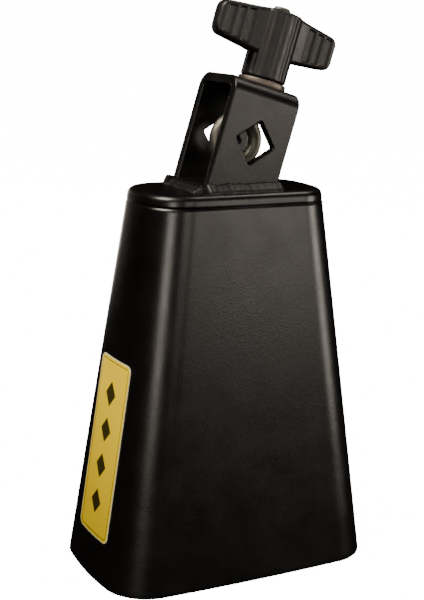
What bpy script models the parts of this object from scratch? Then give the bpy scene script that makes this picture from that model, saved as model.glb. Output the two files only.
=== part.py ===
"""Rod-mounted steel cowbell: a two-half shell, a crown cap, a leaning clamp bracket and its eye bolt.

Units are metres and +Z is up. The origin is the centre of the mouth, +X is the bell's width,
+Y points to its rear face, and the bracket leans towards +X.
"""
from math import atan2, cos, hypot, pi, radians, sin, sqrt

import bmesh
import bpy

# ---------------------------------------------------------------- driving dimensions (metres)
GAP = 0.0003                    # clearance kept between pieces that touch or are welded together
SHEET = 0.0015                  # bell sheet thickness

BELL_HEIGHT = 0.127
# half width, half depth, corner radius, and how far the wide and narrow sides' normals turn (bow)
MOUTH = {"half_width": 0.0489, "half_depth": 0.0296, "corner": 0.0156, "wide_bow": 2.3, "narrow_bow": 6.7}
CROWN = {"half_width": 0.0318, "half_depth": 0.0176, "corner": 0.0130, "wide_bow": 0.3, "narrow_bow": 4.9}

CAP_SKIRT = 0.0040              # height of the crown cap's turned-down rim
CAP_THICKNESS = 0.0018
CAP_EDGE = 0.0018               # outer radius between the cap's top and its rim
WELD_BEAD = 0.0016              # radius of the inside weld beads

BRACKET_X = -0.0010             # where the bracket's centre line meets the crown
BRACKET_LEAN = radians(16.15)   # lean of the bracket towards +X
STRAP_WIDTH = 0.0246
STRAP_DEPTH = 0.0254            # outside to outside of the two ears
STRAP_THICKNESS = 0.0032
STRAP_BEND = 0.0050             # outer bend radius
STRAP_TOP = 0.0347              # top face above the crown, along the lean
DIAMOND_SIDE = 0.0102           # a 3/8 inch (9.5 mm) mounting rod passes
DIAMOND_CORNER = 0.0006
DIAMOND_OFFSET = 0.0            # centre of the diamond holes from the strap's centre line
DIAMOND_HEIGHT = 0.0160         # centre of the diamond holes above the crown, along the lean
BOLT_OFFSET = 0.0032            # bolt axis from the strap's centre line
BOLT_HOLE_RADIUS = 0.0037

BASE_THICKNESS = 0.0020
FOOT_WELD_LEG = 0.0027
FOOT_WELD_FLARE = 0.0022        # how far the ears' beads run past the corner they flare at
PLATE_WELD_LEG = (0.0032, 0.0017)

EYE_WIRE = 0.0023               # radius of the eye's wire
EYE_RADIUS = 0.00715            # mean radius of the eye
EYE_HEIGHT = 0.01555            # centre of the eye above the crown, along the lean
EYE_OFFSET = -0.0035            # centre of the eye from the bolt axis
EYE_END = 87                    # direction from the eye's centre in which the wire ends, degrees
EYE_NECK = 0.0040               # bend radius where the shank runs into the eye
THREAD_RADIUS = 0.0031          # the rolled thread stands a little proud of the wire
THREAD_START = 0.0305           # both along the lean, above the crown
BOLT_TOP = 0.0607

WASHER_RADIUS = 0.0080
WASHER_HOLE = 0.0035
WASHER_THICKNESS = 0.0016

BARREL_RADIUS = 0.00755
BARREL_HEIGHT = 0.0222
BARREL_BORE = 0.0036
WING_SPAN = 0.0225              # bolt axis to wing tip
WING_ROOT = (0.0066, 0.0229)    # bottom and top of the wing where it meets the bolt axis line
WING_TIP = (0.0091, 0.0199)     # bottom and top of the wing's outline at its tip, before rounding
WING_THICKNESS = (0.0070, 0.0058)
INSERT_RADIUS = 0.0048
INSERT_HEIGHT = 0.0140

LABEL_LOW = 0.0138
LABEL_HIGH = 0.0728
LABEL_CENTRE_Y = -0.0018
LABEL_WIDTH = 0.0220
LABEL_CORNER = 0.0018
LABEL_THICKNESS = 0.0004

CORNER_STEPS = 7
BOW_STEPS = 2


# ---------------------------------------------------------------- scene helpers
def clear_scene():
    for obj in list(bpy.data.objects):
        bpy.data.objects.remove(obj, do_unlink=True)


def material(name, colour, roughness, metallic=0.0):
    mat = bpy.data.materials.new(name)
    mat.use_nodes = True
    shader = mat.node_tree.nodes["Principled BSDF"]
    shader.inputs["Base Color"].default_value = (*colour, 1.0)
    shader.inputs["Roughness"].default_value = roughness
    shader.inputs["Metallic"].default_value = metallic
    return mat


def empty(name, parent=None):
    obj = bpy.data.objects.new(name, None)
    bpy.context.collection.objects.link(obj)
    obj.parent = parent
    return obj


def finish_mesh(name, bm, mat, parent=None, smooth_angle=35):
    """Turn a bmesh into a named object with its own material."""
    bmesh.ops.recalc_face_normals(bm, faces=bm.faces)
    mesh = bpy.data.meshes.new(name)
    bm.to_mesh(mesh)
    bm.free()
    mesh.shade_smooth()
    mesh.set_sharp_from_angle(angle=radians(smooth_angle))
    obj = bpy.data.objects.new(name, mesh)
    bpy.context.collection.objects.link(obj)
    obj.parent = parent
    if mat is not None:
        mesh.materials.append(mat)
    return obj


def bridge(bm, ring_a, ring_b):
    count = len(ring_a)
    for i in range(count):
        j = (i + 1) % count
        bm.faces.new((ring_a[i], ring_a[j], ring_b[j], ring_b[i]))


def loft(name, rings, mat, parent=None, closed=False, smooth_angle=35):
    """Skin a chain of equal point rings; the ends are capped, or joined when the chain is closed."""
    bm = bmesh.new()
    loops = [[bm.verts.new(point) for point in ring] for ring in rings]
    for lower, upper in zip(loops, loops[1:]):
        bridge(bm, lower, upper)
    if closed:
        bridge(bm, loops[-1], loops[0])
    else:
        bm.faces.new(loops[0])
        bm.faces.new(loops[-1])
    return finish_mesh(name, bm, mat, parent, smooth_angle)


def cut(target, cutter):
    """Subtract a guide object from the target with an exact Boolean."""
    cutter.hide_render = True
    cutter.display_type = 'WIRE'
    mod = target.modifiers.new("cut_" + cutter.name, 'BOOLEAN')
    mod.operation = 'DIFFERENCE'
    mod.solver = 'EXACT'
    mod.object = cutter


def arc(centre, radius, start, end, steps):
    """Points of an arc in degrees, both ends included."""
    points = []
    for i in range(steps + 1):
        angle = radians(start + (end - start) * i / steps)
        points.append((centre[0] + radius * cos(angle), centre[1] + radius * sin(angle)))
    return points


def circle(radius, z, count, x=0.0, y=0.0):
    return [(x + radius * cos(2 * pi * i / count), y + radius * sin(2 * pi * i / count), z) for i in range(count)]


# ---------------------------------------------------------------- bell outline
def section_values(z):
    t = z / BELL_HEIGHT
    return {key: MOUTH[key] + (CROWN[key] - MOUTH[key]) * t for key in MOUTH}


def bow_radii(values):
    """Radii of the wide and narrow sides, so that they meet the corner arcs without a kink."""
    wide, narrow = radians(values["wide_bow"]), radians(values["narrow_bow"])
    corner = values["corner"]
    a11, a12 = sin(wide), 1 - cos(narrow)
    a21, a22 = 1 - cos(wide), sin(narrow)
    b1 = values["half_width"] - corner * (cos(narrow) - sin(wide))
    b2 = values["half_depth"] - corner * (cos(wide) - sin(narrow))
    det = a11 * a22 - a12 * a21
    return (b1 * a22 - a12 * b2) / det, (a11 * b2 - b1 * a21) / det


def quarter_outline(z, inset):
    """Outline of the quarter x > 0, y > 0, from the narrow side's middle to the wide side's middle."""
    values = section_values(z)
    wide, narrow, corner = values["wide_bow"], values["narrow_bow"], values["corner"]
    wide_radius, narrow_radius = bow_radii(values)
    narrow_centre = (values["half_width"] - narrow_radius, 0.0)
    swing = radians(narrow)
    corner_centre = (narrow_centre[0] + (narrow_radius - corner) * cos(swing), (narrow_radius - corner) * sin(swing))
    wide_centre = (0.0, values["half_depth"] - wide_radius)
    points = arc(narrow_centre, narrow_radius - inset, 0, narrow, BOW_STEPS)
    points += arc(corner_centre, corner - inset, narrow, 90 - wide, CORNER_STEPS)[1:]
    points += arc(wide_centre, wide_radius - inset, 90 - wide, 90, BOW_STEPS)[1:]
    return points


def outline(z, inset=0.0):
    """Whole closed outline, counter-clockwise from the middle of the +X side."""
    quarter = quarter_outline(z, inset)
    back = quarter + [(-x, y) for x, y in reversed(quarter[:-1])]
    front = [(x, -y) for x, y in reversed(back[1:-1])]
    return [(x, y, z) for x, y in back + front]


def narrow_side_x(y, z, inset=0.0):
    """Distance of the narrow side's outer surface from the middle plane, at depth y and height z."""
    values = section_values(z)
    radius = bow_radii(values)[1]
    return values["half_width"] - radius + sqrt((radius - inset) ** 2 - y * y)


# ---------------------------------------------------------------- shell, seams and crown
SHELL_TOP = BELL_HEIGHT - CAP_SKIRT - GAP


def half_wall(z, side):
    """Cross-section of one shell half: its outer outline and, back again, its inner one."""
    def half(inset):
        points = outline(z, inset)
        points = points[:len(points) // 2 + 1]
        points[0] = (points[0][0], GAP / 2, z)
        points[-1] = (points[-1][0], GAP / 2, z)
        return [(x, side * y, z) for x, y, _ in points]
    return half(0.0) + list(reversed(half(SHEET)))


def shell_half(name, side, mat):
    return loft(name, [half_wall(0.0, side), half_wall(SHELL_TOP, side)], mat)


def seam_weld(name, side, mat):
    """Half-round bead along the inside of a side seam."""
    rings = []
    for z in (0.004, SHELL_TOP - 0.004):
        wall = narrow_side_x(0.0, z, SHEET) - GAP
        profile = arc((0.0, 0.0), WELD_BEAD, -90, 90, 6)
        rings.append([(side * (wall - x), y, z) for x, y in profile])
    return loft(name, rings, mat)


def crown_cap(mat):
    """Shallow pressed cap, open below, whose rim carries on the shell's taper."""
    low = BELL_HEIGHT - CAP_SKIRT
    inner_top = BELL_HEIGHT - CAP_THICKNESS
    rings = [outline(inner_top, SHEET + 0.0006), outline(inner_top - 0.0006, SHEET)]
    rings += [outline(low, SHEET), outline(low, 0.0)]
    for angle in (0, 30, 60, 90):
        rise = BELL_HEIGHT - CAP_EDGE + CAP_EDGE * sin(radians(angle))
        rings.append(outline(rise, CAP_EDGE * (1 - cos(radians(angle)))))
    return loft("crown_cap", rings, mat)


def crown_weld(mat):
    """Inside bead that joins the cap's rim to the shell."""
    middle = BELL_HEIGHT - CAP_SKIRT
    half = 0.0012
    rings = [outline(middle - half, SHEET + GAP), outline(middle + half, SHEET + GAP)]
    rings += [outline(middle + 0.0005, SHEET + GAP + 0.0011), outline(middle - 0.0005, SHEET + GAP + 0.0011)]
    return loft("crown_weld", rings, mat, closed=True)


def side_label(mat):
    """Thin adhesive label with rounded corners on the -X side, following the bowed wall."""
    half = LABEL_WIDTH / 2
    corner = arc((half - LABEL_CORNER, -LABEL_CORNER), LABEL_CORNER, 90, 0, 3)
    straight = half - LABEL_CORNER
    profile = [(straight * i / 4, 0.0) for i in range(4)] + corner
    profile = [(-y, drop) for y, drop in reversed(profile[1:])] + profile
    rings = []
    for y, drop in profile:
        depth = LABEL_CENTRE_Y + y
        ring = []
        for z, lift in ((LABEL_LOW - drop, 0), (LABEL_HIGH + drop, 0), (LABEL_HIGH + drop, 1), (LABEL_LOW - drop, 1)):
            ring.append((-narrow_side_x(depth, z, -GAP - lift * LABEL_THICKNESS), depth, z))
        rings.append(ring)
    return loft("side_label", rings, mat)


# ---------------------------------------------------------------- bracket
def foot_height(u):
    """Where the crown plane, plus the gap, crosses the bracket frame at the width u."""
    return (GAP + u * sin(BRACKET_LEAN)) / cos(BRACKET_LEAN)


def strap_profile(u):
    """Inverted U across the bell's depth: outer line up and over, inner line back."""
    half, top, bend = STRAP_DEPTH / 2, STRAP_TOP, STRAP_BEND
    inner = bend - STRAP_THICKNESS
    foot = foot_height(u)
    outer = [(-half, foot)] + arc((-half + bend, top - bend), bend, 180, 90, 6)
    outer += arc((half - bend, top - bend), bend, 90, 0, 6) + [(half, foot)]
    inside = [(half - STRAP_THICKNESS, foot)] + arc((half - bend, top - bend), inner, 0, 90, 4)
    inside += arc((-half + bend, top - bend), inner, 90, 180, 4) + [(-half + STRAP_THICKNESS, foot)]
    return [(u, y, v) for y, v in outer + inside]


def diamond_ring(y):
    """Square on its corner, with small corner radii."""
    half = DIAMOND_SIDE / 2
    corner = DIAMOND_CORNER
    points = []
    for quarter in range(4):
        start = 90 * quarter
        turn = radians(start)
        centre = half - corner
        cx, cy = centre * (cos(turn) - sin(turn)), centre * (sin(turn) + cos(turn))
        points += arc((cx, cy), corner, start, start + 90, 3)
    turned = [((x - z) / sqrt(2), (x + z) / sqrt(2)) for x, z in points]
    return [(DIAMOND_OFFSET + x, y, DIAMOND_HEIGHT + z) for x, z in turned]


def diamond_cutter(parent):
    """Prism through both ears."""
    return loft("diamond_cutter", [diamond_ring(y) for y in (-STRAP_DEPTH, STRAP_DEPTH)], None, parent)


def hole_cutter(parent):
    rings = [circle(BOLT_HOLE_RADIUS, v, 24, x=BOLT_OFFSET) for v in (STRAP_TOP - 0.008, STRAP_TOP + 0.004)]
    return loft("bolt_hole_cutter", rings, None, parent)


def bracket_strap(mat, parent):
    half = STRAP_WIDTH / 2
    strap = loft("bracket_strap", [strap_profile(-half), strap_profile(half)], mat, parent)
    cut(strap, diamond_cutter(parent))
    cut(strap, hole_cutter(parent))
    return strap


FOOT_HALF = STRAP_WIDTH / 2 / cos(BRACKET_LEAN)
EAR_INSIDE = STRAP_DEPTH / 2 - STRAP_THICKNESS


def bracket_base_plate(mat):
    """Flat strip on the crown that closes the bottom of the bracket between its ears."""
    low = BELL_HEIGHT + GAP
    high = low + BASE_THICKNESS
    half = EAR_INSIDE - GAP
    left, right = BRACKET_X - FOOT_HALF, BRACKET_X + FOOT_HALF
    rings = [[(left, -half, z), (right, -half, z), (right, half, z), (left, half, z)] for z in (low, high)]
    return loft("bracket_base_plate", rings, mat)


def ear_weld(name, side, flare_side, mat):
    """Fillet bead along an ear's foot, with an uneven leg, flared past one corner."""
    start = BRACKET_X - FOOT_HALF - (FOOT_WELD_FLARE if flare_side < 0 else 0.0005)
    end = BRACKET_X + FOOT_HALF + (FOOT_WELD_FLARE if flare_side > 0 else 0.0005)
    base = BELL_HEIGHT + GAP
    face = STRAP_DEPTH / 2 + GAP
    stations = 14
    rings = []
    for i in range(stations + 1):
        t = i / stations
        leg = FOOT_WELD_LEG * (0.93 + 0.07 * sin(9.0 * pi * t))
        leg *= min(1.0, 0.35 + 0.65 * sqrt(4 * min(t, 1 - t)))
        x = start + (end - start) * t
        profile = [(0.0, 0.0), (leg, 0.0), (0.62 * leg, 0.55 * leg), (0.0, leg)]
        rings.append([(x, side * (face + out), base + up) for out, up in profile])
    return loft(name, rings, mat, smooth_angle=60)


def plate_weld(name, side, mat):
    """Short fillet bead along the base plate's end, between the ears."""
    base = BELL_HEIGHT + GAP
    face = BRACKET_X + side * (FOOT_HALF + GAP)
    half = EAR_INSIDE - GAP
    wide, high = PLATE_WELD_LEG
    profile = [(0.0, 0.0), (wide, 0.0), (0.6 * wide, 0.62 * high), (0.0, high)]
    rings = [[(face + side * out, y, base + up) for out, up in profile] for y in (-half, half)]
    return loft(name, rings, mat)


# ---------------------------------------------------------------- clamp: eye bolt, washer, wing nut
def eye_path():
    """Centre line of the turned eye bolt as (x, z, radius), from the shank's top to the eye's end."""
    centre_z = EYE_HEIGHT
    neck_z = centre_z + sqrt((EYE_NECK + EYE_RADIUS) ** 2 - (EYE_NECK - EYE_OFFSET) ** 2)
    meet = atan2(neck_z - centre_z, EYE_NECK - EYE_OFFSET)
    path = [(0.0, BOLT_TOP, THREAD_RADIUS * 0.78), (0.0, BOLT_TOP - 0.0007, THREAD_RADIUS)]
    path += [(0.0, THREAD_START, THREAD_RADIUS), (0.0, THREAD_START - 0.0005, EYE_WIRE)]
    for i in range(5):
        angle = pi + meet * i / 4
        path.append((EYE_NECK + EYE_NECK * cos(angle), neck_z + EYE_NECK * sin(angle), EYE_WIRE))
    end = radians(EYE_END - 360)
    ring_steps = 30
    for i in range(1, ring_steps + 1):
        angle = meet + (end - meet) * i / ring_steps
        path.append((EYE_OFFSET + EYE_RADIUS * cos(angle), centre_z + EYE_RADIUS * sin(angle), EYE_WIRE))
    return path


def sweep_in_plane(path, sides):
    """Round rings across a centre line that lies in the X-Z plane."""
    rings = []
    for i, (x, z, radius) in enumerate(path):
        before = path[max(i - 1, 0)]
        after = path[min(i + 1, len(path) - 1)]
        dx, dz = after[0] - before[0], after[1] - before[1]
        length = hypot(dx, dz)
        nx, nz = dz / length, -dx / length
        ring = []
        for k in range(sides):
            angle = 2 * pi * k / sides
            out = radius * cos(angle)
            ring.append((x + nx * out, radius * sin(angle), z + nz * out))
        rings.append(ring)
    return rings


def eye_bolt(mat, parent):
    return loft("eye_bolt", sweep_in_plane(eye_path(), 14), mat, parent)


def tube(name, outer, inner, low, high, count, mat, parent):
    rings = [circle(inner, high, count), circle(inner, low, count), circle(outer, low, count), circle(outer, high, count)]
    return loft(name, rings, mat, parent, closed=True)


def wing_outline():
    """Both wings and the web through the barrel as one outline in the X-Z plane."""
    low_root, high_root = WING_ROOT
    low_tip, high_tip = WING_TIP
    low_round, high_round = 0.0030, 0.0022
    right = [(0.0, low_root)]
    right += arc((WING_SPAN - low_round, low_tip + low_round), low_round, -83, 0, 4)
    right += arc((WING_SPAN - high_round, high_tip - high_round), high_round, 0, 81, 4)
    right += [(0.0, high_root)]
    left = [(-x, z) for x, z in reversed(right[1:-1])]
    return right + left


def wing_nut_body(mat, parent):
    """Moulded T handle: a bored barrel with two flat wings that thin out towards their tips."""
    root, tip = WING_THICKNESS
    def half_thickness(x):
        return (root + (tip - root) * abs(x) / WING_SPAN) / 2
    points = wing_outline()
    rings = [[(x, side * half_thickness(x), z) for x, z in points] for side in (-1, 1)]
    wings = loft("wing_guide", rings, None, parent, smooth_angle=50)
    wings.hide_render = True
    wings.display_type = 'WIRE'
    barrel = loft("wing_nut_body", [circle(BARREL_RADIUS, 0.0, 40), circle(BARREL_RADIUS, BARREL_HEIGHT, 40)], mat, parent)
    join = barrel.modifiers.new("wings", 'BOOLEAN')
    join.operation = 'UNION'
    join.solver = 'EXACT'
    join.object = wings
    pocket = INSERT_RADIUS + GAP
    deep = INSERT_HEIGHT + GAP
    rings = [circle(pocket, -0.001, 28), circle(pocket, deep, 28)]
    rings += [circle(BARREL_BORE, deep, 28), circle(BARREL_BORE, BARREL_HEIGHT + 0.002, 28)]
    cut(barrel, loft("bore_cutter", rings, None, parent))
    return barrel


# ---------------------------------------------------------------- assembly
def main():
    clear_scene()
    black_paint = (0.018, 0.017, 0.016)
    zinc = (0.42, 0.42, 0.40)

    shell_half("shell_front", -1, material("shell_front", black_paint, 0.42))
    shell_half("shell_rear", 1, material("shell_rear", black_paint, 0.42))
    seam_weld("seam_weld_left", -1, material("seam_weld_left", black_paint, 0.5))
    seam_weld("seam_weld_right", 1, material("seam_weld_right", black_paint, 0.5))
    crown_cap(material("crown_cap", black_paint, 0.42))
    crown_weld(material("crown_weld", black_paint, 0.5))
    side_label(material("side_label", (0.85, 0.72, 0.03), 0.4))

    bracket = empty("bracket_frame")
    bracket.location = (BRACKET_X, 0.0, BELL_HEIGHT)
    bracket.rotation_euler = (0.0, BRACKET_LEAN, 0.0)
    bracket_strap(material("bracket_strap", black_paint, 0.42), bracket)
    bracket_base_plate(material("bracket_base_plate", black_paint, 0.45))
    ear_weld("ear_weld_front", -1, 1, material("ear_weld_front", black_paint, 0.5))
    ear_weld("ear_weld_rear", 1, -1, material("ear_weld_rear", black_paint, 0.5))
    plate_weld("plate_weld_left", -1, material("plate_weld_left", black_paint, 0.5))
    plate_weld("plate_weld_right", 1, material("plate_weld_right", black_paint, 0.5))

    bolt_axis = empty("bolt_axis", bracket)
    bolt_axis.location = (BOLT_OFFSET, 0.0, 0.0)
    eye_bolt(material("eye_bolt", zinc, 0.35, 1.0), bolt_axis)

    washer_seat = empty("washer_seat", bolt_axis)
    washer_seat.location = (0.0, 0.0, STRAP_TOP + GAP)
    tube("flat_washer", WASHER_RADIUS, WASHER_HOLE, 0.0, WASHER_THICKNESS, 40,
         material("flat_washer", zinc, 0.35, 1.0), washer_seat)

    nut_seat = empty("nut_seat", washer_seat)
    nut_seat.location = (0.0, 0.0, WASHER_THICKNESS + GAP)
    wing_nut_body(material("wing_nut_body", (0.03, 0.028, 0.028), 0.5), nut_seat)
    tube("wing_nut_insert", INSERT_RADIUS, WASHER_HOLE, 0.0, INSERT_HEIGHT, 28,
         material("wing_nut_insert", zinc, 0.4, 1.0), nut_seat)


main()
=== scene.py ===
"""Rod-mounted cowbell: detailed pieces, finishes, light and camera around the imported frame."""

from math import atan2, cos, exp, hypot, pi, radians, sin, sqrt

import bmesh
import bpy
from mathutils import Matrix, Vector, noise

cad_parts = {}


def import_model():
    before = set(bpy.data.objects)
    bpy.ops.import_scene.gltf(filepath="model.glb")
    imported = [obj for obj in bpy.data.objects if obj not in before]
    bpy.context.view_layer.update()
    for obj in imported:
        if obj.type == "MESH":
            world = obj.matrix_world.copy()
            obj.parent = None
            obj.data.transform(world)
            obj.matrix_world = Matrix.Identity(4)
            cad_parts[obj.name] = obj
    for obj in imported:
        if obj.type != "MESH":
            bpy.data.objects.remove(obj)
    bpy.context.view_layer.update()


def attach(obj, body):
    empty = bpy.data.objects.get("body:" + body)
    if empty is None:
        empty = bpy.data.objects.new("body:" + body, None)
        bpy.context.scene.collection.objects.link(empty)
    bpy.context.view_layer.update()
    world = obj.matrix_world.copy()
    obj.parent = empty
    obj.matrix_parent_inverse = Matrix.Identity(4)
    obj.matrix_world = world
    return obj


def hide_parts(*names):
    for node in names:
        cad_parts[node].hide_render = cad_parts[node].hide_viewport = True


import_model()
MM = 0.001

# ------------------------------------------------------------------ the object's sizes, in millimetres
BELL_HEIGHT = 127.0
MOUTH = {"half_width": 48.9, "half_depth": 29.6, "corner": 15.6, "wide_bow": 2.3, "narrow_bow": 6.7}
CROWN = {"half_width": 31.8, "half_depth": 17.6, "corner": 13.0, "wide_bow": 0.3, "narrow_bow": 4.9}
SHEET = 1.5
JOINT_Z = 123.0                 # height of the line between shell and crown cap

BRACKET_X = -1.0
LEAN = radians(16.15)
STRAP_WIDTH = 24.6
STRAP_DEPTH = 25.4
STRAP_THICKNESS = 3.2
STRAP_BEND = 5.0
STRAP_TOP = 34.7
DIAMOND_SIDE = 10.2
DIAMOND_CORNER = 0.6
DIAMOND_HEIGHT = 16.0
BOLT_OFFSET = 3.2
BOLT_HOLE = 3.7

EYE_WIRE = 2.3
EYE_RADIUS = 7.15
EYE_HEIGHT = 15.55
EYE_OFFSET = -3.5
EYE_NECK = 4.0
EYE_END = 87
THREAD_RADIUS = 3.1
THREAD_DEPTH = 0.62
THREAD_PITCH = 1.27
THREAD_START = 30.5
BOLT_TOP = 60.7

WASHER_LOW = 35.0
WASHER_RADIUS = 8.0
WASHER_HOLE = 3.5
WASHER_THICKNESS = 1.6

NUT_LOW = 36.9                  # underside of the wing nut, along the lean
BARREL_RADIUS = 7.55
BARREL_HEIGHT = 22.2
WING_SPAN = 22.5

BRACKET = Matrix.Translation((BRACKET_X * MM, 0, BELL_HEIGHT * MM)) @ Matrix.Rotation(LEAN, 4, 'Y')
BOLT = BRACKET @ Matrix.Translation((BOLT_OFFSET * MM, 0, 0))


# ------------------------------------------------------------------ mesh helpers
def arc(cx, cy, radius, start, end, steps):
    points = []
    for i in range(steps + 1):
        angle = radians(start + (end - start) * i / steps)
        points.append((cx + radius * cos(angle), cy + radius * sin(angle)))
    return points


def smoothstep(low, high, value):
    t = min(1.0, max(0.0, (value - low) / (high - low)))
    return t * t * (3 - 2 * t)


def grid(bm, rings, close_ring=True, close_chain=False, caps=True):
    """Skins rings of equal length, given in millimetres; open chains get end caps."""
    loops = [[bm.verts.new(Vector(p) * MM) for p in ring] for ring in rings]
    pairs = list(zip(loops, loops[1:]))
    if close_chain:
        pairs.append((loops[-1], loops[0]))
    count = len(loops[0])
    for lower, upper in pairs:
        for i in range(count if close_ring else count - 1):
            j = (i + 1) % count
            bm.faces.new((lower[i], lower[j], upper[j], upper[i]))
    if caps and not close_chain:
        bm.faces.new(loops[0])
        bm.faces.new(loops[-1])
    return loops


def fan(bm, loop, centre):
    hub = bm.verts.new(Vector(centre) * MM)
    for i, vert in enumerate(loop):
        bm.faces.new((vert, loop[(i + 1) % len(loop)], hub))


def to_object(name, bm, matrix=None, sharp=40):
    bmesh.ops.recalc_face_normals(bm, faces=bm.faces)
    mesh = bpy.data.meshes.new(name)
    bm.to_mesh(mesh)
    bm.free()
    if matrix is not None:
        mesh.transform(matrix)
    mesh.shade_smooth()
    mesh.set_sharp_from_angle(angle=radians(sharp))
    obj = bpy.data.objects.new(name, mesh)
    bpy.context.scene.collection.objects.link(obj)
    return obj


def place(obj, mat, body, node):
    """Gives a detailed piece its finish and lets it stand for the CAD node of the same name."""
    obj.data.materials.clear()
    obj.data.materials.append(mat)
    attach(obj, body)
    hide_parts(node)


def apply_modifiers(obj, sharp=40, keep_normals=False):
    graph = bpy.context.evaluated_depsgraph_get()
    mesh = bpy.data.meshes.new_from_object(obj.evaluated_get(graph))
    old = obj.data
    obj.modifiers.clear()
    obj.data = mesh
    bpy.data.meshes.remove(old)
    mesh.name = obj.name
    if not keep_normals:
        mesh.shade_smooth()
        mesh.set_sharp_from_angle(angle=radians(sharp))


def boolean(obj, other, operation):
    mod = obj.modifiers.new(operation.lower(), 'BOOLEAN')
    mod.operation = operation
    mod.solver = 'EXACT'
    mod.object = other
    bpy.context.view_layer.update()
    apply_modifiers(obj)
    mesh = other.data
    bpy.data.objects.remove(other)
    bpy.data.meshes.remove(mesh)


def bevel(obj, width, segments=3, angle=35):
    mod = obj.modifiers.new("bevel", 'BEVEL')
    mod.width = width * MM
    mod.segments = segments
    mod.limit_method = 'ANGLE'
    mod.angle_limit = radians(angle)
    mod.use_clamp_overlap = True
    obj.data.shade_smooth()
    weights = obj.modifiers.new("weights", 'WEIGHTED_NORMAL')
    weights.keep_sharp = False
    weights.weight = 100
    bpy.context.view_layer.update()
    apply_modifiers(obj, keep_normals=True)


def lathe(bm, profile, count, flute=None):
    """Closed profile of (radius, z) turned about Z; flute(angle, radius, z) may change a radius."""
    rings = []
    for radius, z in profile:
        ring = []
        for i in range(count):
            angle = 2 * pi * i / count
            r = flute(angle, radius, z) if flute else radius
            ring.append((r * cos(angle), r * sin(angle), z))
        rings.append(ring)
    grid(bm, rings, close_chain=True)


# ------------------------------------------------------------------ bell outline
def section_values(z):
    t = z / BELL_HEIGHT
    return {key: MOUTH[key] + (CROWN[key] - MOUTH[key]) * t for key in MOUTH}


def bow_radii(values):
    wide, narrow = radians(values["wide_bow"]), radians(values["narrow_bow"])
    corner = values["corner"]
    a11, a12 = sin(wide), 1 - cos(narrow)
    a21, a22 = 1 - cos(wide), sin(narrow)
    b1 = values["half_width"] - corner * (cos(narrow) - sin(wide))
    b2 = values["half_depth"] - corner * (cos(wide) - sin(narrow))
    det = a11 * a22 - a12 * a21
    return (b1 * a22 - a12 * b2) / det, (a11 * b2 - b1 * a21) / det


def outline(z, inset=0.0, corner_steps=22, wide_steps=14, narrow_steps=9):
    """Closed outline, counter-clockwise from the middle of the +X side, pulled in by inset."""
    values = section_values(z)
    wide, narrow, corner = values["wide_bow"], values["narrow_bow"], values["corner"]
    wide_radius, narrow_radius = bow_radii(values)
    narrow_x = values["half_width"] - narrow_radius
    swing = radians(narrow)
    corner_x = narrow_x + (narrow_radius - corner) * cos(swing)
    corner_y = (narrow_radius - corner) * sin(swing)
    wide_y = values["half_depth"] - wide_radius
    quarter = arc(narrow_x, 0.0, narrow_radius - inset, 0, narrow, narrow_steps)
    quarter += arc(corner_x, corner_y, corner - inset, narrow, 90 - wide, corner_steps)[1:]
    quarter += arc(0.0, wide_y, wide_radius - inset, 90 - wide, 90, wide_steps)[1:]
    back = quarter + [(-x, y) for x, y in reversed(quarter[:-1])]
    front = [(x, -y) for x, y in reversed(back[1:-1])]
    return [(x, y, z) for x, y in back + front]


def narrow_side_x(y, z, lift=0.0):
    values = section_values(z)
    radius = bow_radii(values)[1]
    return values["half_width"] - radius + sqrt((radius + lift) ** 2 - y * y)


GROOVE_WIDTH = 0.42


def groove_depth(index, count):
    """Depth of the joint line between shell and cap: fullest round the front-left corner."""
    angle = 2 * pi * index / count
    depth = 0.15 + 0.10 * noise.noise(Vector((cos(angle) * 1.7, sin(angle) * 1.7, 3.1)))
    return max(0.05, depth + 0.24 * exp(-((angle - 1.25 * pi) / 0.45) ** 2))


def with_groove(z, inset):
    """Outline pulled in by the joint line's groove at this height."""
    fall = exp(-((z - JOINT_Z) / GROOVE_WIDTH) ** 2)
    plain = outline(z, inset)
    if fall < 0.002:
        return plain
    deep = outline(z, inset + 1.0)
    count = len(plain)
    ring = []
    for i, (p, q) in enumerate(zip(plain, deep)):
        t = groove_depth(i, count) * fall
        ring.append((p[0] + (q[0] - p[0]) * t, p[1] + (q[1] - p[1]) * t, z))
    return ring


def shell_rings():
    """Full rings round the sheet's section: down the outside, over the lip, up the inside."""
    top = JOINT_Z - 0.012
    heights = [top, 122.85, 122.7, 122.55, 122.35, 122.1, 121.7, 121.0, 119.0]
    heights += [110.0 - 12.0 * i for i in range(9)] + [6.0, 2.0, 0.7]
    rings = [with_groove(z, 0.0) for z in heights]
    for angle in (20, 40, 60, 80):
        rings.append(outline(0.6 - 0.6 * sin(radians(angle)), 0.6 - 0.6 * cos(radians(angle))))
    rings.append(outline(0.0, 0.75))
    for angle in (80, 60, 40, 20):
        rings.append(outline(0.6 - 0.6 * sin(radians(angle)), SHEET - 0.6 + 0.6 * cos(radians(angle))))
    rings += [outline(z, SHEET) for z in (0.7, 2.0, 6.0, 30.0, 60.0, 90.0, 119.0, top)]
    return rings


def shell_half(name, side):
    """Half of the shell; its two ends meet the other half in the middle of the narrow sides."""
    rings = shell_rings()
    count = len(rings[0])
    half = count // 2
    order = list(range(0, half + 1)) if side > 0 else [i % count for i in range(half, count + 1)]
    columns = []
    for place_in_row, i in enumerate(order):
        column = []
        for ring in rings:
            x, y, z = ring[i]
            if place_in_row in (0, len(order) - 1):
                y = side * 0.006
            column.append((x, y, z))
        columns.append(column)
    bm = bmesh.new()
    grid(bm, columns)
    return to_object(name, bm)


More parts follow.
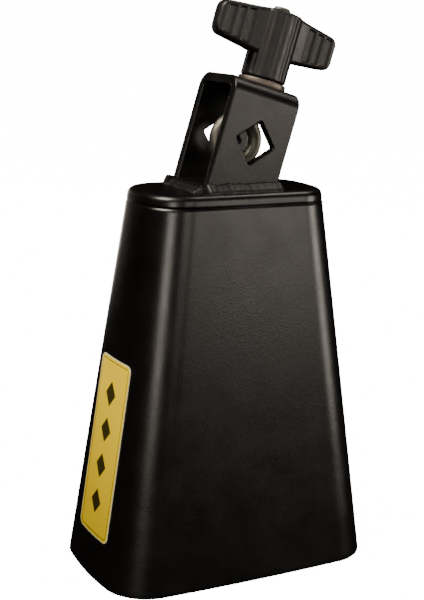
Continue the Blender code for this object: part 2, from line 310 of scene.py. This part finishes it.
def crown_cap():
    edge = 1.9
    low = JOINT_Z + 0.012
    rings = []
    for angle in (0, 25, 50, 75, 90):
        rise = BELL_HEIGHT - 2.2 + 0.4 * sin(radians(angle))
        rings.append(outline(rise, SHEET + 0.4 - 0.4 * cos(radians(angle))))
    rings = rings[::-1] + [outline(low, SHEET)]
    for z in (low, 123.15, 123.3, 123.45, 123.65, 123.9, 124.3):
        rings.append(with_groove(z, 0.0))
    for angle in range(0, 91, 10):
        rise = BELL_HEIGHT - edge + edge * sin(radians(angle))
        rings.append(outline(rise, edge * (1 - cos(radians(angle)))))
    flat = rings[-1]
    for shrink in (0.93, 0.75, 0.5, 0.25):
        rings.append([(x * shrink, y * shrink, BELL_HEIGHT) for x, y, _ in flat])
    under = rings[0]
    rings = [[(x * s, y * s, z) for x, y, z in under] for s in (0.25, 0.6)] + rings
    bm = bmesh.new()
    loops = grid(bm, rings, caps=False)
    fan(bm, loops[0], (0, 0, under[0][2]))
    fan(bm, loops[-1], (0, 0, BELL_HEIGHT))
    return to_object("crown_cap_piece", bm)


def crown_weld():
    """Inside bead round the joint of shell and cap."""
    middle = JOINT_Z
    rings = []
    steps = 10
    for k in range(steps + 1):
        angle = pi * k / steps
        plain = outline(middle + 1.2 * cos(angle), SHEET + 0.05)
        deep = outline(middle + 1.2 * cos(angle), SHEET + 1.05)
        ring = []
        for i, (p, q) in enumerate(zip(plain, deep)):
            ripple = 1.15 + 0.16 * noise.noise(Vector(p) * 0.35) + 0.05 * sin(i * 1.9)
            t = ripple * sin(angle)
            ring.append((p[0] + (q[0] - p[0]) * t, p[1] + (q[1] - p[1]) * t, p[2]))
        rings.append(ring)
    bm = bmesh.new()
    grid(bm, rings, close_chain=True)
    return to_object("crown_weld_piece", bm, sharp=60)


SEAM_LOW, SEAM_HIGH = 0.6, 118.7


def seam_weld(name, side):
    """Rippled bead up the inside of a side seam."""
    rings = []
    stations = 220
    for i in range(stations + 1):
        z = SEAM_LOW + (SEAM_HIGH - SEAM_LOW) * i / stations
        ends = sqrt(min(1.0, 12.0 * min(i, stations - i) / stations + 0.04))
        size = (1.55 + 0.12 * sin(z * 3.3) + 0.15 * noise.noise(Vector((z * 0.3, side * 5.0, 0)))) * ends
        wall = narrow_side_x(0.0, z, -SHEET) - 0.04
        drift = 0.25 * noise.noise(Vector((z * 0.12, side * 9.0, 4.0)))
        profile = arc(0.0, drift, size, -90, 90, 10)
        rings.append([(side * (wall - max(0.0, x)), y, z) for x, y in profile])
    bm = bmesh.new()
    grid(bm, rings)
    return to_object(name, bm, sharp=60)


# ------------------------------------------------------------------ label
LABEL_LOW, LABEL_HIGH = 13.8, 72.8
LABEL_CENTRE_Y, LABEL_WIDTH, LABEL_CORNER = -1.8, 22.0, 2.4


def side_label():
    half = LABEL_WIDTH / 2
    corner = arc(half - LABEL_CORNER, -LABEL_CORNER, LABEL_CORNER, 90, 0, 8)
    straight = half - LABEL_CORNER
    profile = [(straight * i / 8, 0.0) for i in range(8)] + corner
    profile = [(-y, drop) for y, drop in reversed(profile[1:])] + profile
    rings = []
    for y, drop in profile:
        depth = LABEL_CENTRE_Y + y
        low, high = LABEL_LOW - drop, LABEL_HIGH + drop
        ring = [(low, 0.03), (high, 0.03), (high, 0.17)]
        ring += [(high - 0.05, 0.2), (low + 0.05, 0.2), (low, 0.17)]
        rings.append([(-narrow_side_x(depth, z, lift), depth, z) for z, lift in ring])
    bm = bmesh.new()
    grid(bm, rings)
    return to_object("side_label_piece", bm)


# ------------------------------------------------------------------ bracket
def foot_height(u, gap=0.02):
    return (gap + u * sin(LEAN)) / cos(LEAN)


def strap_profile(u):
    half, top, bend = STRAP_DEPTH / 2, STRAP_TOP, STRAP_BEND
    inner = bend - STRAP_THICKNESS
    foot = foot_height(u)
    outer = [(-half, foot)] + arc(-half + bend, top - bend, bend, 180, 90, 16)
    outer += arc(half - bend, top - bend, bend, 90, 0, 16) + [(half, foot)]
    inside = [(half - STRAP_THICKNESS, foot)] + arc(half - bend, top - bend, inner, 0, 90, 10)
    inside += arc(-half + bend, top - bend, inner, 90, 180, 10) + [(-half + STRAP_THICKNESS, foot)]
    return [(u, y, v) for y, v in outer + inside]


def diamond_ring(y):
    """Square on its corner."""
    half = DIAMOND_SIDE / 2 - DIAMOND_CORNER
    points = []
    for start in (0, 90, 180, 270):
        turn = radians(start)
        cx, cy = half * (cos(turn) - sin(turn)), half * (sin(turn) + cos(turn))
        points += arc(cx, cy, DIAMOND_CORNER, start, start + 90, 5)
    turned = [((x - z) / sqrt(2), (x + z) / sqrt(2)) for x, z in points]
    return [(x, y, DIAMOND_HEIGHT + z) for x, z in turned]


def bracket_strap():
    half = STRAP_WIDTH / 2
    bm = bmesh.new()
    grid(bm, [strap_profile(-half), strap_profile(half)])
    strap = to_object("bracket_strap_piece", bm)
    bm = bmesh.new()
    grid(bm, [diamond_ring(y) for y in (-STRAP_DEPTH, STRAP_DEPTH)])
    boolean(strap, to_object("diamond_tool", bm), 'DIFFERENCE')
    bm = bmesh.new()
    grid(bm, [[(BOLT_OFFSET + BOLT_HOLE * cos(2 * pi * i / 48), BOLT_HOLE * sin(2 * pi * i / 48), v)
               for i in range(48)] for v in (STRAP_TOP - 8, STRAP_TOP + 4)])
    boolean(strap, to_object("hole_tool", bm), 'DIFFERENCE')
    bevel(strap, 0.55, 4)
    strap.data.transform(BRACKET)
    return strap


FOOT_HALF = STRAP_WIDTH / 2 / cos(LEAN)
PLATE_THICKNESS = 2.25
EAR_INSIDE = STRAP_DEPTH / 2 - STRAP_THICKNESS


def base_plate():
    bm = bmesh.new()
    left, right = BRACKET_X - FOOT_HALF, BRACKET_X + FOOT_HALF
    half = EAR_INSIDE - 0.02
    low = BELL_HEIGHT + 0.02
    corners = ((left, -half), (right, -half), (right, half), (left, half))
    grid(bm, [[(x, y, z) for x, y in corners] for z in (low, low + PLATE_THICKNESS)])
    plate = to_object("bracket_base_plate_piece", bm)
    bevel(plate, 0.5, 3)
    return plate


def fillet_bead(name, start, end, normal, leg_out, leg_up, flare_start, flare_end, seed):
    """Lumpy fillet weld along a straight foot line on the crown, from start to end (x, y)."""
    rings = []
    stations = 120
    along = (end[0] - start[0], end[1] - start[1])
    length = hypot(*along)
    for i in range(stations + 1):
        t = i / stations
        s = t * length
        near, far = s, length - s
        close = sqrt(max(0.0, 1 - (1 - min(1.0, near / flare_start)) ** 2))
        close *= sqrt(max(0.0, 1 - (1 - min(1.0, far / flare_end)) ** 2))
        close = max(close, 0.06)
        lump = 1 + 0.24 * noise.noise(Vector((s * 0.30, seed, 0.0)))
        lump += 0.012 * sin(2 * pi * s / 2.6 + seed)
        x0, y0 = start[0] + along[0] * t, start[1] + along[1] * t
        ring = []
        for out, up in arc(0, 0, 1, 0, 90, 12):
            flat = 0.92 + 0.08 * cos(4 * atan2(up, out))
            reach = leg_out * lump * close * flat
            rise = leg_up * lump * (0.35 + 0.65 * close) * flat
            x, y = x0 + normal[0] * out * reach, y0 + normal[1] * out * reach
            ring.append((x, y, BELL_HEIGHT + 0.02 + up * rise))
        tuck = 0.25
        ring.append((x0 - normal[0] * tuck, y0 - normal[1] * tuck, ring[-1][2] - 0.2))
        ring.append((x0 - normal[0] * tuck, y0 - normal[1] * tuck, BELL_HEIGHT + 0.02))
        rings.append(ring)
    bm = bmesh.new()
    grid(bm, rings)
    return to_object(name, bm, sharp=70)


# ------------------------------------------------------------------ clamp hardware
def eye_path():
    centre_z = EYE_HEIGHT
    neck_z = centre_z + sqrt((EYE_NECK + EYE_RADIUS) ** 2 - (EYE_NECK - EYE_OFFSET) ** 2)
    meet = atan2(neck_z - centre_z, EYE_NECK - EYE_OFFSET)
    path = []
    for i in range(15):
        angle = pi + meet * i / 14
        path.append((EYE_NECK + EYE_NECK * cos(angle), neck_z + EYE_NECK * sin(angle)))
    end = radians(EYE_END - 360)
    for i in range(1, 91):
        angle = meet + (end - meet) * i / 90
        path.append((EYE_OFFSET + EYE_RADIUS * cos(angle), centre_z + EYE_RADIUS * sin(angle)))
    return path


def thread_radius(angle, z):
    """Rolled 60 degree thread with a flat crest and root."""
    phase = (z / THREAD_PITCH - angle / (2 * pi)) % 1.0
    tooth = min(1.0, max(0.0, (abs(phase - 0.5) * 2 - 0.16) / 0.68))
    ends = smoothstep(BOLT_TOP - 0.2, BOLT_TOP - 1.4, z)
    ends *= smoothstep(THREAD_START - 0.2, THREAD_START + 1.2, z)
    return THREAD_RADIUS - THREAD_DEPTH * tooth * ends - 0.35 * (1 - ends)


def eye_bolt():
    """Threaded shank from the top down, running on into the turned eye."""
    sides = 28
    rings = []

    def level(z, radius_at):
        ring = []
        for k in range(sides):
            angle = 2 * pi * k / sides
            r = radius_at(angle)
            ring.append((r * cos(angle), -r * sin(angle), z))
        rings.append(ring)

    for drop, radius in ((0.0, 1.0), (0.0, 2.0), (0.06, 2.35), (0.25, 2.6)):
        level(BOLT_TOP - drop, lambda angle, radius=radius: radius)
    z = BOLT_TOP - 0.45
    step = THREAD_PITCH / 8
    while z > THREAD_START:
        level(z, lambda angle, z=z: thread_radius(-angle, z))
        z -= step
    for drop, radius in ((0.15, 2.55), (0.5, 2.3), (0.9, EYE_WIRE), (2.5, EYE_WIRE)):
        level(THREAD_START - drop, lambda angle, radius=radius: radius)
    path = eye_path()
    for i, (x, z) in enumerate(path):
        before, after = path[max(i - 1, 0)], path[min(i + 1, len(path) - 1)]
        dx, dz = after[0] - before[0], after[1] - before[1]
        if i == 0:
            dx, dz = 0.0, -1.0
        length = hypot(dx, dz)
        nx, nz = -dz / length, dx / length
        ring = []
        for k in range(sides):
            angle = 2 * pi * k / sides
            out = EYE_WIRE * cos(angle)
            ring.append((x + nx * out, -EYE_WIRE * sin(angle), z + nz * out))
        rings.append(ring)
    last, x, z = rings[-1], *path[-1]
    for shrink in (0.97, 0.9, 0.6):
        push = 0.05 if shrink > 0.95 else 0.12
        ring = []
        for px, py, pz in last:
            end_x = x + (px - x) * shrink + dx / length * push
            end_z = z + (pz - z) * shrink + dz / length * push
            ring.append((end_x, py * shrink, end_z))
        rings.append(ring)
    bm = bmesh.new()
    grid(bm, rings)
    return to_object("eye_bolt_piece", bm, BOLT, sharp=50)


def flat_washer():
    low, high = 0.02, WASHER_THICKNESS + 0.28
    profile = [(WASHER_HOLE, low + 0.12), (WASHER_HOLE + 0.12, low)]
    profile += [(WASHER_RADIUS - 0.2, low), (WASHER_RADIUS - 0.05, low + 0.06), (WASHER_RADIUS, low + 0.2)]
    profile += [(WASHER_RADIUS, high - 0.5), (WASHER_RADIUS - 0.06, high - 0.25)]
    profile += [(WASHER_RADIUS - 0.25, high - 0.06)]
    profile += [(WASHER_RADIUS - 0.5, high), (WASHER_HOLE + 0.3, high), (WASHER_HOLE, high - 0.25)]
    bm = bmesh.new()
    lathe(bm, profile, 96)
    return to_object("flat_washer_piece", bm, BOLT @ Matrix.Translation((0, 0, STRAP_TOP * MM)))


RIBS = [13.5, 16.85]            # distance of each raised rib from the bolt axis
RIB_HALF = 1.2
RECESS = 0.55                   # how far the grip panels lie below the ribs
CORE_RADIUS = 5.3               # room kept free of the wings round the bolt


def wing_limits(x):
    """Bottom and top of the wing's outline at a distance from the bolt axis, before the tip's round."""
    t = x / WING_SPAN
    return 6.65 + 2.5 * t, 22.85 - 2.95 * t


def wing_section(x, count_face=22, count_edge=6):
    """Closed cross-section of the wings at x, as (y, z) points."""
    far = abs(x)
    low, high = wing_limits(far)
    half = 3.5 - 0.55 * far / WING_SPAN
    tip = 3.1
    over = max(0.0, far - (WING_SPAN - tip)) / tip
    ease = sqrt(max(0.0, 1 - over * over))
    low += tip * (1 - ease) * 0.95
    high -= tip * (1 - ease) * 0.80
    tip_y = 1.9
    over = max(0.0, far - (WING_SPAN - tip_y)) / tip_y
    half -= tip_y * (1 - sqrt(max(0.0, 1 - over * over)))
    half += 0.7 * (max(0.0, 10.2 - far) / 2.9) ** 2 if far > 7.0 else 0.85
    rib = 0.0
    for centre in RIBS:
        gap = min(1.0, abs(far - centre) / RIB_HALF)
        rib = max(rib, cos(gap * pi / 2) ** 2)
    inside = smoothstep(9.9, 10.8, far) * (1 - smoothstep(19.6, 20.6, far))
    sunk = RECESS * inside * (1 - rib)
    round_edge = min(1.25, half * 0.8, (high - low) * 0.3)
    right = arc(half - round_edge, low + round_edge, round_edge, -90, 0, count_edge)
    for i in range(1, count_face):
        z = low + round_edge + (high - low - 2 * round_edge) * i / count_face
        rim = smoothstep(low + round_edge * 0.75, low + round_edge * 0.75 + 0.6, z)
        rim *= 1 - smoothstep(high - round_edge * 0.75 - 0.6, high - round_edge * 0.75, z)
        right.append((half - sunk * rim, z))
    right += arc(half - round_edge, high - round_edge, round_edge, 0, 90, count_edge)
    left = [(-y, z) for y, z in reversed(right)]
    return [(x, y, z) for y, z in right + left]


def wing_nut_body():
    """Moulded T handle: fluted barrel, wings with raised grip ribs, bored for the bolt."""
    xs = []
    x = -WING_SPAN + 0.01
    while x < -8.7:
        xs.append(x)
        near_tip = abs(x) > WING_SPAN - 1.2
        x += 0.09 if near_tip else 0.16
    xs += [-8.6, -7.6, -6.0, -3.0]
    xs = xs + [0.0] + [-value for value in reversed(xs)]
    bm = bmesh.new()
    grid(bm, [wing_section(value) for value in xs])
    wings = to_object("wings_tool", bm, sharp=30)

    def flute(angle, radius, z):
        if radius < BARREL_RADIUS - 1.2:
            return radius
        wave = 0.5 + 0.5 * cos(20 * angle)
        ends = smoothstep(0.2, 1.0, z) * (1 - smoothstep(BARREL_HEIGHT - 1.4, BARREL_HEIGHT - 0.5, z))
        return radius - 0.20 * ends * (1 - wave ** 0.7)

    top = BARREL_HEIGHT
    profile = [(3.6, 14.2), (3.6, top - 0.5), (3.9, top - 0.1), (4.2, top)]
    profile += [(BARREL_RADIUS - 1.1, top), (BARREL_RADIUS - 0.6, top - 0.1)]
    profile += [(BARREL_RADIUS - 0.25, top - 0.35)]
    profile += [(BARREL_RADIUS, top - 0.8)]
    profile += [(BARREL_RADIUS, z) for z in (top - 1.1, top - 1.5, 16.0, 11.0, 6.0, 2.0, 1.2, 0.8, 0.5)]
    profile += [(BARREL_RADIUS - 0.15, 0.2), (BARREL_RADIUS - 0.45, 0.02)]
    profile += [(5.15, 0.02), (5.05, 0.15), (5.05, 14.2)]
    bm = bmesh.new()
    lathe(bm, profile, 200, flute)
    body = to_object("wing_nut_body_piece", bm, sharp=40)
    # the wings are cut back from the bore before they are joined to the barrel
    bm = bmesh.new()
    turns = [2 * pi * i / 64 for i in range(64)]
    grid(bm, [[(CORE_RADIUS * cos(a), CORE_RADIUS * sin(a), z) for a in turns] for z in (-1.0, top + 2.0)])
    boolean(wings, to_object("core_tool", bm), 'DIFFERENCE')
    boolean(body, wings, 'UNION')
    body.data.transform(BOLT @ Matrix.Translation((0, 0, NUT_LOW * MM)))
    return body


def wing_nut_insert():
    profile = [(3.45, 0.35), (3.8, 0.05), (4.55, 0.05), (4.8, 0.3)]
    profile += [(4.8, 13.7), (4.6, 13.95), (3.7, 13.95), (3.45, 13.7)]
    bm = bmesh.new()
    lathe(bm, profile, 64)
    return to_object("wing_nut_insert_piece", bm, BOLT @ Matrix.Translation((0, 0, NUT_LOW * MM)))


# ------------------------------------------------------------------ materials
class Nodes:
    """Small builder for a procedural material."""

    def __init__(self, name):
        self.mat = bpy.data.materials.new(name)
        self.mat.use_nodes = True
        self.tree = self.mat.node_tree
        self.shader = self.tree.nodes["Principled BSDF"]

    def add(self, kind, **inputs):
        node = self.tree.nodes.new(kind)
        for key, value in inputs.items():
            node.inputs[key.replace("_", " ")].default_value = value
        return node

    def link(self, source, target):
        self.tree.links.new(source, target)

    def set(self, **inputs):
        for key, value in inputs.items():
            self.shader.inputs[key.replace("_", " ")].default_value = value

    def position(self):
        return self.add("ShaderNodeTexCoord").outputs["Object"]

    def noise(self, scale, detail=2.0, rough=0.5):
        node = self.add("ShaderNodeTexNoise", Scale=scale, Detail=detail, Roughness=rough)
        self.link(self.position(), node.inputs["Vector"])
        return node.outputs["Fac"]

    def ramp(self, source, stops):
        node = self.add("ShaderNodeValToRGB")
        self.link(source, node.inputs["Fac"])
        elements = node.color_ramp.elements
        while len(elements) < len(stops):
            elements.new(0.5)
        for element, (at, colour) in zip(elements, stops):
            element.position = at
            element.color = (*colour, 1.0)
        return node.outputs["Color"]

    def range(self, source, low, high, out_low, out_high):
        node = self.add("ShaderNodeMapRange")
        node.inputs["From Min"].default_value = low
        node.inputs["From Max"].default_value = high
        node.inputs["To Min"].default_value = out_low
        node.inputs["To Max"].default_value = out_high
        self.link(source, node.inputs["Value"])
        return node.outputs["Result"]

    def math(self, operation, a, b=None):
        node = self.add("ShaderNodeMath")
        node.operation = operation
        for socket, value in zip(node.inputs, (a, b)):
            if value is None:
                continue
            if isinstance(value, (int, float)):
                socket.default_value = value
            else:
                self.link(value, socket)
        return node.outputs["Value"]

    def mix(self, factor, a, b):
        node = self.add("ShaderNodeMix")
        node.data_type = 'RGBA'
        self.link(factor, node.inputs["Factor"])
        for socket, value in ((node.inputs["A"], a), (node.inputs["B"], b)):
            if isinstance(value, tuple):
                socket.default_value = (*value, 1.0)
            else:
                self.link(value, socket)
        return node.outputs["Result"]

    def bump(self, height, distance, strength=1.0):
        node = self.add("ShaderNodeBump", Strength=strength, Distance=distance)
        self.link(height, node.inputs["Height"])
        self.link(node.outputs["Normal"], self.shader.inputs["Normal"])


def powder_coat(name, peel=1.0, rough=0.31):
    """Satin black powder coat: fine orange peel, slightly uneven gloss, a little settled dust."""
    m = Nodes(name)
    stops = [(0.3, (0.0022, 0.0020, 0.0019)), (0.7, (0.0034, 0.0030, 0.0028))]
    m.link(m.ramp(m.noise(45.0, 3.0), stops), m.shader.inputs["Base Color"])
    gloss = m.noise(90.0, 4.0, 0.6)
    m.link(m.range(gloss, 0.3, 0.7, rough - 0.03, rough + 0.04), m.shader.inputs["Roughness"])
    peel_height = m.math('ADD', m.noise(1400.0, 1.0), m.math('MULTIPLY', m.noise(420.0, 1.0), 0.7))
    m.bump(peel_height, 0.000025 * peel, 0.9)
    m.set(Specular_IOR_Level=0.5)
    return m.mat


def zinc(name, colour, rough):
    """Bright zinc plate: faint drawn lines and slightly clouded colour."""
    m = Nodes(name)
    cloud = m.noise(260.0, 3.0, 0.6)
    dark = tuple(c * 0.82 for c in colour)
    m.link(m.ramp(cloud, [(0.3, dark), (0.7, colour)]), m.shader.inputs["Base Color"])
    lines = m.noise(1800.0, 2.0, 0.6)
    m.link(m.range(lines, 0.3, 0.7, rough - 0.05, rough + 0.08), m.shader.inputs["Roughness"])
    m.bump(m.noise(2200.0, 2.0), 0.00001, 0.8)
    m.set(Metallic=1.0)
    return m.mat


def moulded_plastic(name):
    """Black glass-filled nylon with a fine mould texture."""
    m = Nodes(name)
    stops = [(0.3, (0.005, 0.0045, 0.0045)), (0.7, (0.009, 0.008, 0.008))]
    m.link(m.ramp(m.noise(200.0, 3.0), stops), m.shader.inputs["Base Color"])
    m.link(m.range(m.noise(900.0, 3.0, 0.6), 0.3, 0.7, 0.36, 0.47), m.shader.inputs["Roughness"])
    m.bump(m.noise(2600.0, 2.0, 0.6), 0.00003, 0.9)
    return m.mat


def label_print(name):
    """Yellow vinyl: a row of plain dark lozenges, a thin dark border line and a pale cut edge."""
    m = Nodes(name)
    split = m.add("ShaderNodeSeparateXYZ")
    m.link(m.position(), split.inputs["Vector"])
    across = m.math('ABSOLUTE', m.math('SUBTRACT', split.outputs["Y"], LABEL_CENTRE_Y * MM))
    middle, half_height = (LABEL_LOW + LABEL_HIGH) / 2, (LABEL_HIGH - LABEL_LOW) / 2
    along = m.math('ABSOLUTE', m.math('SUBTRACT', split.outputs["Z"], middle * MM))
    corner = LABEL_CORNER
    dx = m.math('MAXIMUM', m.math('SUBTRACT', across, (LABEL_WIDTH / 2 - corner) * MM), 0.0)
    dz = m.math('MAXIMUM', m.math('SUBTRACT', along, (half_height - corner) * MM), 0.0)
    reach = m.math('SQRT', m.math('ADD', m.math('MULTIPLY', dx, dx), m.math('MULTIPLY', dz, dz)))
    line = m.math('COMPARE', reach, (corner - 1.25) * MM)
    line.node.inputs[2].default_value = 0.13 * MM
    edge = m.math('GREATER_THAN', reach, (corner - 0.35) * MM)
    paper = m.ramp(m.noise(60.0, 2.0), [(0.3, (0.86, 0.61, 0.001)), (0.7, (0.93, 0.67, 0.002))])
    side = m.math('DIVIDE', across, 3.6 * MM)
    repeat = m.math('PINGPONG', m.math('ADD', along, 6.0 * MM), 6.0 * MM)
    lozenge = m.math('LESS_THAN', m.math('ADD', side, m.math('DIVIDE', repeat, 4.2 * MM)), 1.0)
    lozenge = m.math('MULTIPLY', lozenge, m.math('LESS_THAN', along, 23.0 * MM))
    ink = m.math('MAXIMUM', line, lozenge)
    inked = m.mix(ink, paper, (0.035, 0.028, 0.006))
    m.link(m.mix(edge, inked, (0.74, 0.72, 0.42)), m.shader.inputs["Base Color"])
    m.link(m.range(m.noise(500.0, 3.0), 0.3, 0.7, 0.38, 0.48), m.shader.inputs["Roughness"])
    m.bump(m.noise(700.0, 2.0), 0.00001, 0.5)
    m.set(Specular_IOR_Level=0.25)
    return m.mat


# ------------------------------------------------------------------ assembly
COAT = powder_coat("black_powder_coat")
BEAD_COAT = powder_coat("black_powder_coat_on_weld", peel=0.5, rough=0.46)

place(shell_half("shell_front_piece", -1), COAT, "bell", "shell_front")
place(shell_half("shell_rear_piece", 1), COAT, "bell", "shell_rear")
place(crown_cap(), COAT, "bell", "crown_cap")
place(crown_weld(), BEAD_COAT, "bell", "crown_weld")
place(seam_weld("seam_weld_left_piece", -1), BEAD_COAT, "bell", "seam_weld_left")
place(seam_weld("seam_weld_right_piece", 1), BEAD_COAT, "bell", "seam_weld_right")
place(side_label(), label_print("yellow_label"), "bell", "side_label")
place(bracket_strap(), COAT, "bell", "bracket_strap")
place(base_plate(), COAT, "bell", "bracket_base_plate")

face = STRAP_DEPTH / 2
foot_left, foot_right = BRACKET_X - FOOT_HALF, BRACKET_X + FOOT_HALF
place(fillet_bead("ear_weld_front_piece", (foot_left - 0.3, -face), (foot_right + 2.2, -face), (0, -1),
                  3.0, 2.8, 1.0, 1.6, 1.0), BEAD_COAT, "bell", "ear_weld_front")
place(fillet_bead("ear_weld_rear_piece", (foot_right + 0.3, face), (foot_left - 2.2, face), (0, 1),
                  3.0, 2.8, 1.0, 1.6, 7.0), BEAD_COAT, "bell", "ear_weld_rear")
place(fillet_bead("plate_weld_left_piece", (foot_left, -EAR_INSIDE - 2.6),
                  (foot_left, EAR_INSIDE + 2.6), (-1, 0),
                  3.3, 1.7, 1.4, 1.4, 13.0), BEAD_COAT, "bell", "plate_weld_left")
place(fillet_bead("plate_weld_right_piece", (foot_right, -EAR_INSIDE), (foot_right, EAR_INSIDE), (1, 0),
                  2.2, 1.7, 1.0, 1.0, 19.0), BEAD_COAT, "bell", "plate_weld_right")

place(eye_bolt(), zinc("eye_bolt_zinc", (0.17, 0.17, 0.14), 0.50), "eye", "eye_bolt")
place(flat_washer(), zinc("washer_zinc", (0.22, 0.19, 0.16), 0.48), "washer", "flat_washer")
place(wing_nut_body(), moulded_plastic("handle_plastic"), "nut", "wing_nut_body")
place(wing_nut_insert(), zinc("insert_zinc", (0.34, 0.33, 0.30), 0.3), "nut", "wing_nut_insert")


# ------------------------------------------------------------------ camera, floor and light
CAMERA_AZIMUTH = radians(27.63)     # to the left of the front
CAMERA_ELEVATION = radians(13.21)
CAMERA_ROLL = radians(1.64)
CAMERA_DISTANCE = 410.4             # millimetres from the point that it aims at
CAMERA_AIM = (-3.83, 0.0, 89.07)
CAMERA_LENS = 73.88
LIGHT_DISTANCE = 0.9                # metres
LIGHT_AIM = Vector((0.0, 0.0, 0.10))
WARM_WHITE = (1.0, 0.9, 0.8)


def camera():
    azimuth, elevation, roll = CAMERA_AZIMUTH, CAMERA_ELEVATION, CAMERA_ROLL
    back = Vector((-sin(azimuth) * cos(elevation), -cos(azimuth) * cos(elevation), sin(elevation)))
    right = (-back).cross(Vector((0, 0, 1))).normalized()
    up = right.cross(-back)
    right, up = cos(roll) * right + sin(roll) * up, -sin(roll) * right + cos(roll) * up
    data = bpy.data.cameras.new("camera")
    data.lens = CAMERA_LENS
    data.sensor_width = 36.0
    data.clip_start = 0.01
    obj = bpy.data.objects.new("camera", data)
    bpy.context.scene.collection.objects.link(obj)
    turn = Matrix((right, up, back)).transposed().to_4x4()
    target = Vector(CAMERA_AIM) * MM
    obj.matrix_world = Matrix.Translation(target + back * CAMERA_DISTANCE * MM) @ turn
    bpy.context.scene.camera = obj


def floor():
    bm = bmesh.new()
    size = 6.0
    corners = [(-size, -size), (size, -size), (size, size), (-size, size)]
    bm.faces.new([bm.verts.new((x, y, -0.0002)) for x, y in corners])
    obj = to_object("floor", bm)
    m = Nodes("pale_floor")
    m.set(Base_Color=(0.9, 0.9, 0.9, 1), Roughness=0.9)
    m.shader.inputs["Emission Color"].default_value = (1, 1, 1, 1)
    m.shader.inputs["Emission Strength"].default_value = 16.0
    obj.data.materials.append(m.mat)
    obj.visible_diffuse = False
    obj.visible_glossy = False


def soft_light(name, azimuth, elevation, power, size):
    """Square soft box that faces the bell; azimuth 0 is in front of it, positive to the right."""
    turn, tilt = radians(azimuth), radians(elevation)
    away = Vector((sin(turn) * cos(tilt), -cos(turn) * cos(tilt), sin(tilt)))
    data = bpy.data.lights.new(name, 'AREA')
    data.shape = 'SQUARE'
    data.size = size
    data.energy = power
    data.color = WARM_WHITE
    obj = bpy.data.objects.new(name, data)
    bpy.context.scene.collection.objects.link(obj)
    obj.location = LIGHT_AIM + away * LIGHT_DISTANCE
    obj.rotation_mode = 'QUATERNION'
    obj.rotation_quaternion = (-away).to_track_quat('-Z', 'Y')
    obj.visible_camera = False


def world():
    sky = bpy.data.worlds.new("studio")
    sky.use_nodes = True
    sky.node_tree.nodes["Background"].inputs["Color"].default_value = (1, 1, 1, 1)
    sky.node_tree.nodes["Background"].inputs["Strength"].default_value = 16.0
    sky.cycles_visibility.diffuse = False
    sky.cycles_visibility.glossy = False
    bpy.context.scene.world = sky


camera()
floor()
world()
# Plain studio light: large soft boxes at round angles, all of one warm white.
soft_light("key_left", -45, 5, 2.0, size=0.25)
soft_light("front_fill", 0, 10, 1.0, size=0.30)
soft_light("front_right", 30, 5, 1.2, size=0.30)
soft_light("side_right", 60, 0, 2.5, size=0.30)
soft_light("top_right", 90, 60, 2.5, size=0.40)
soft_light("top_left", -90, 55, 12.0, size=0.45)
soft_light("rear", 180, 0, 0.8, size=0.30)
